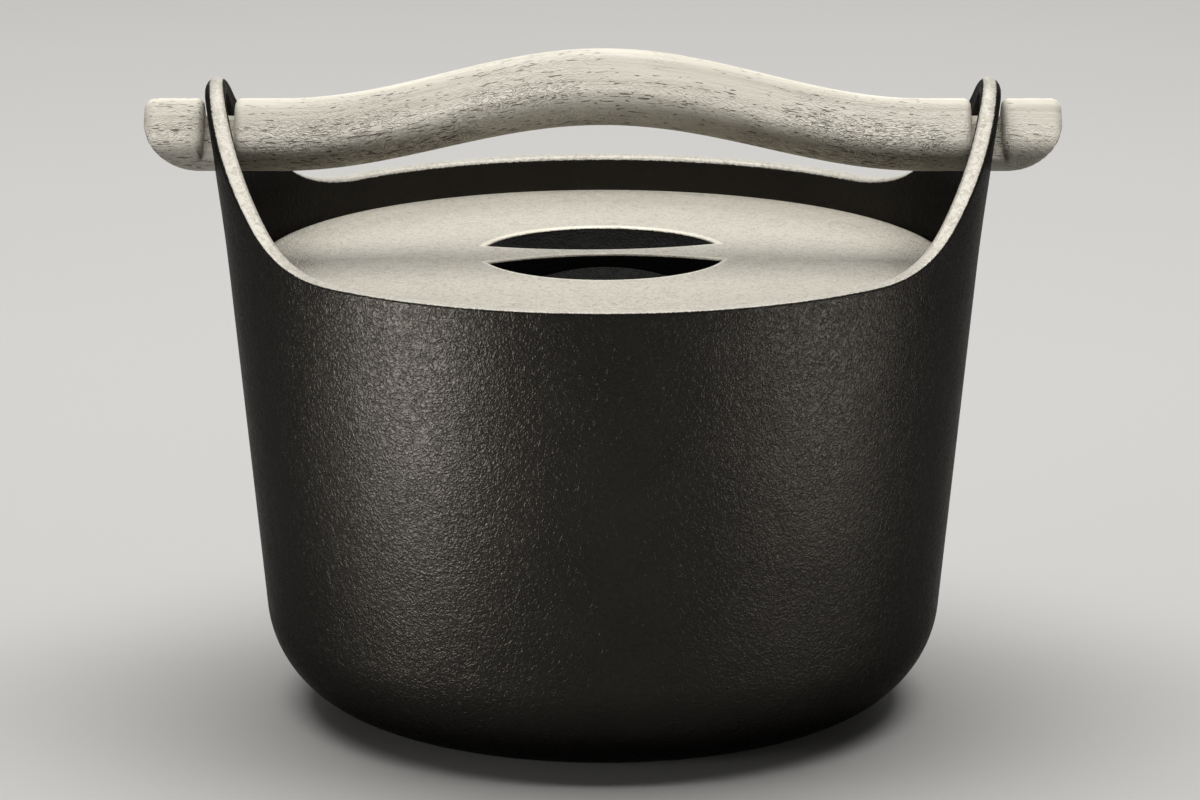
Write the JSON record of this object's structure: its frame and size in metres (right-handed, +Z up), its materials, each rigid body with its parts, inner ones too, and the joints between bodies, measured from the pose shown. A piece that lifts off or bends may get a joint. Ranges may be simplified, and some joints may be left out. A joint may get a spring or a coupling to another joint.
{
  "type": "cast iron pot",
  "caption": "Tapered cast iron cooking pot with a drop-in lid that has a bridged pocket, and a loose arched wooden handle pushed through ears on the rim.",
  "frame": {"origin": "centre of the flat base, on the surface that the pot stands on", "axes": "+X along the handle, -Y towards the picture's viewer, +Z up"},
  "size_m": [0.2418, 0.1998, 0.1763],
  "materials": {
    "body_iron": "satin black cast iron with a fine sand-cast texture",
    "lid_iron": "pale grey cast iron with a fine grain",
    "handle_wood": "pale bare wood with fine dark grain along the bar"
  },
  "bodies": {
    "pot": {"pot_body": "body_iron"},
    "lid": {"lid": "lid_iron"},
    "handle": {"handle": "handle_wood"}
  },
  "joints": [
    {"name": "lid_lift", "type": "slide", "parent": "pot", "child": "lid", "axis": [0, 0, 1], "range_m": [0, 0.0235]},
    {"name": "handle_slide", "type": "slide", "parent": "pot", "child": "handle", "axis": [1, 0, 0], "range_m": [-0.025, 0.025]}
  ]
}
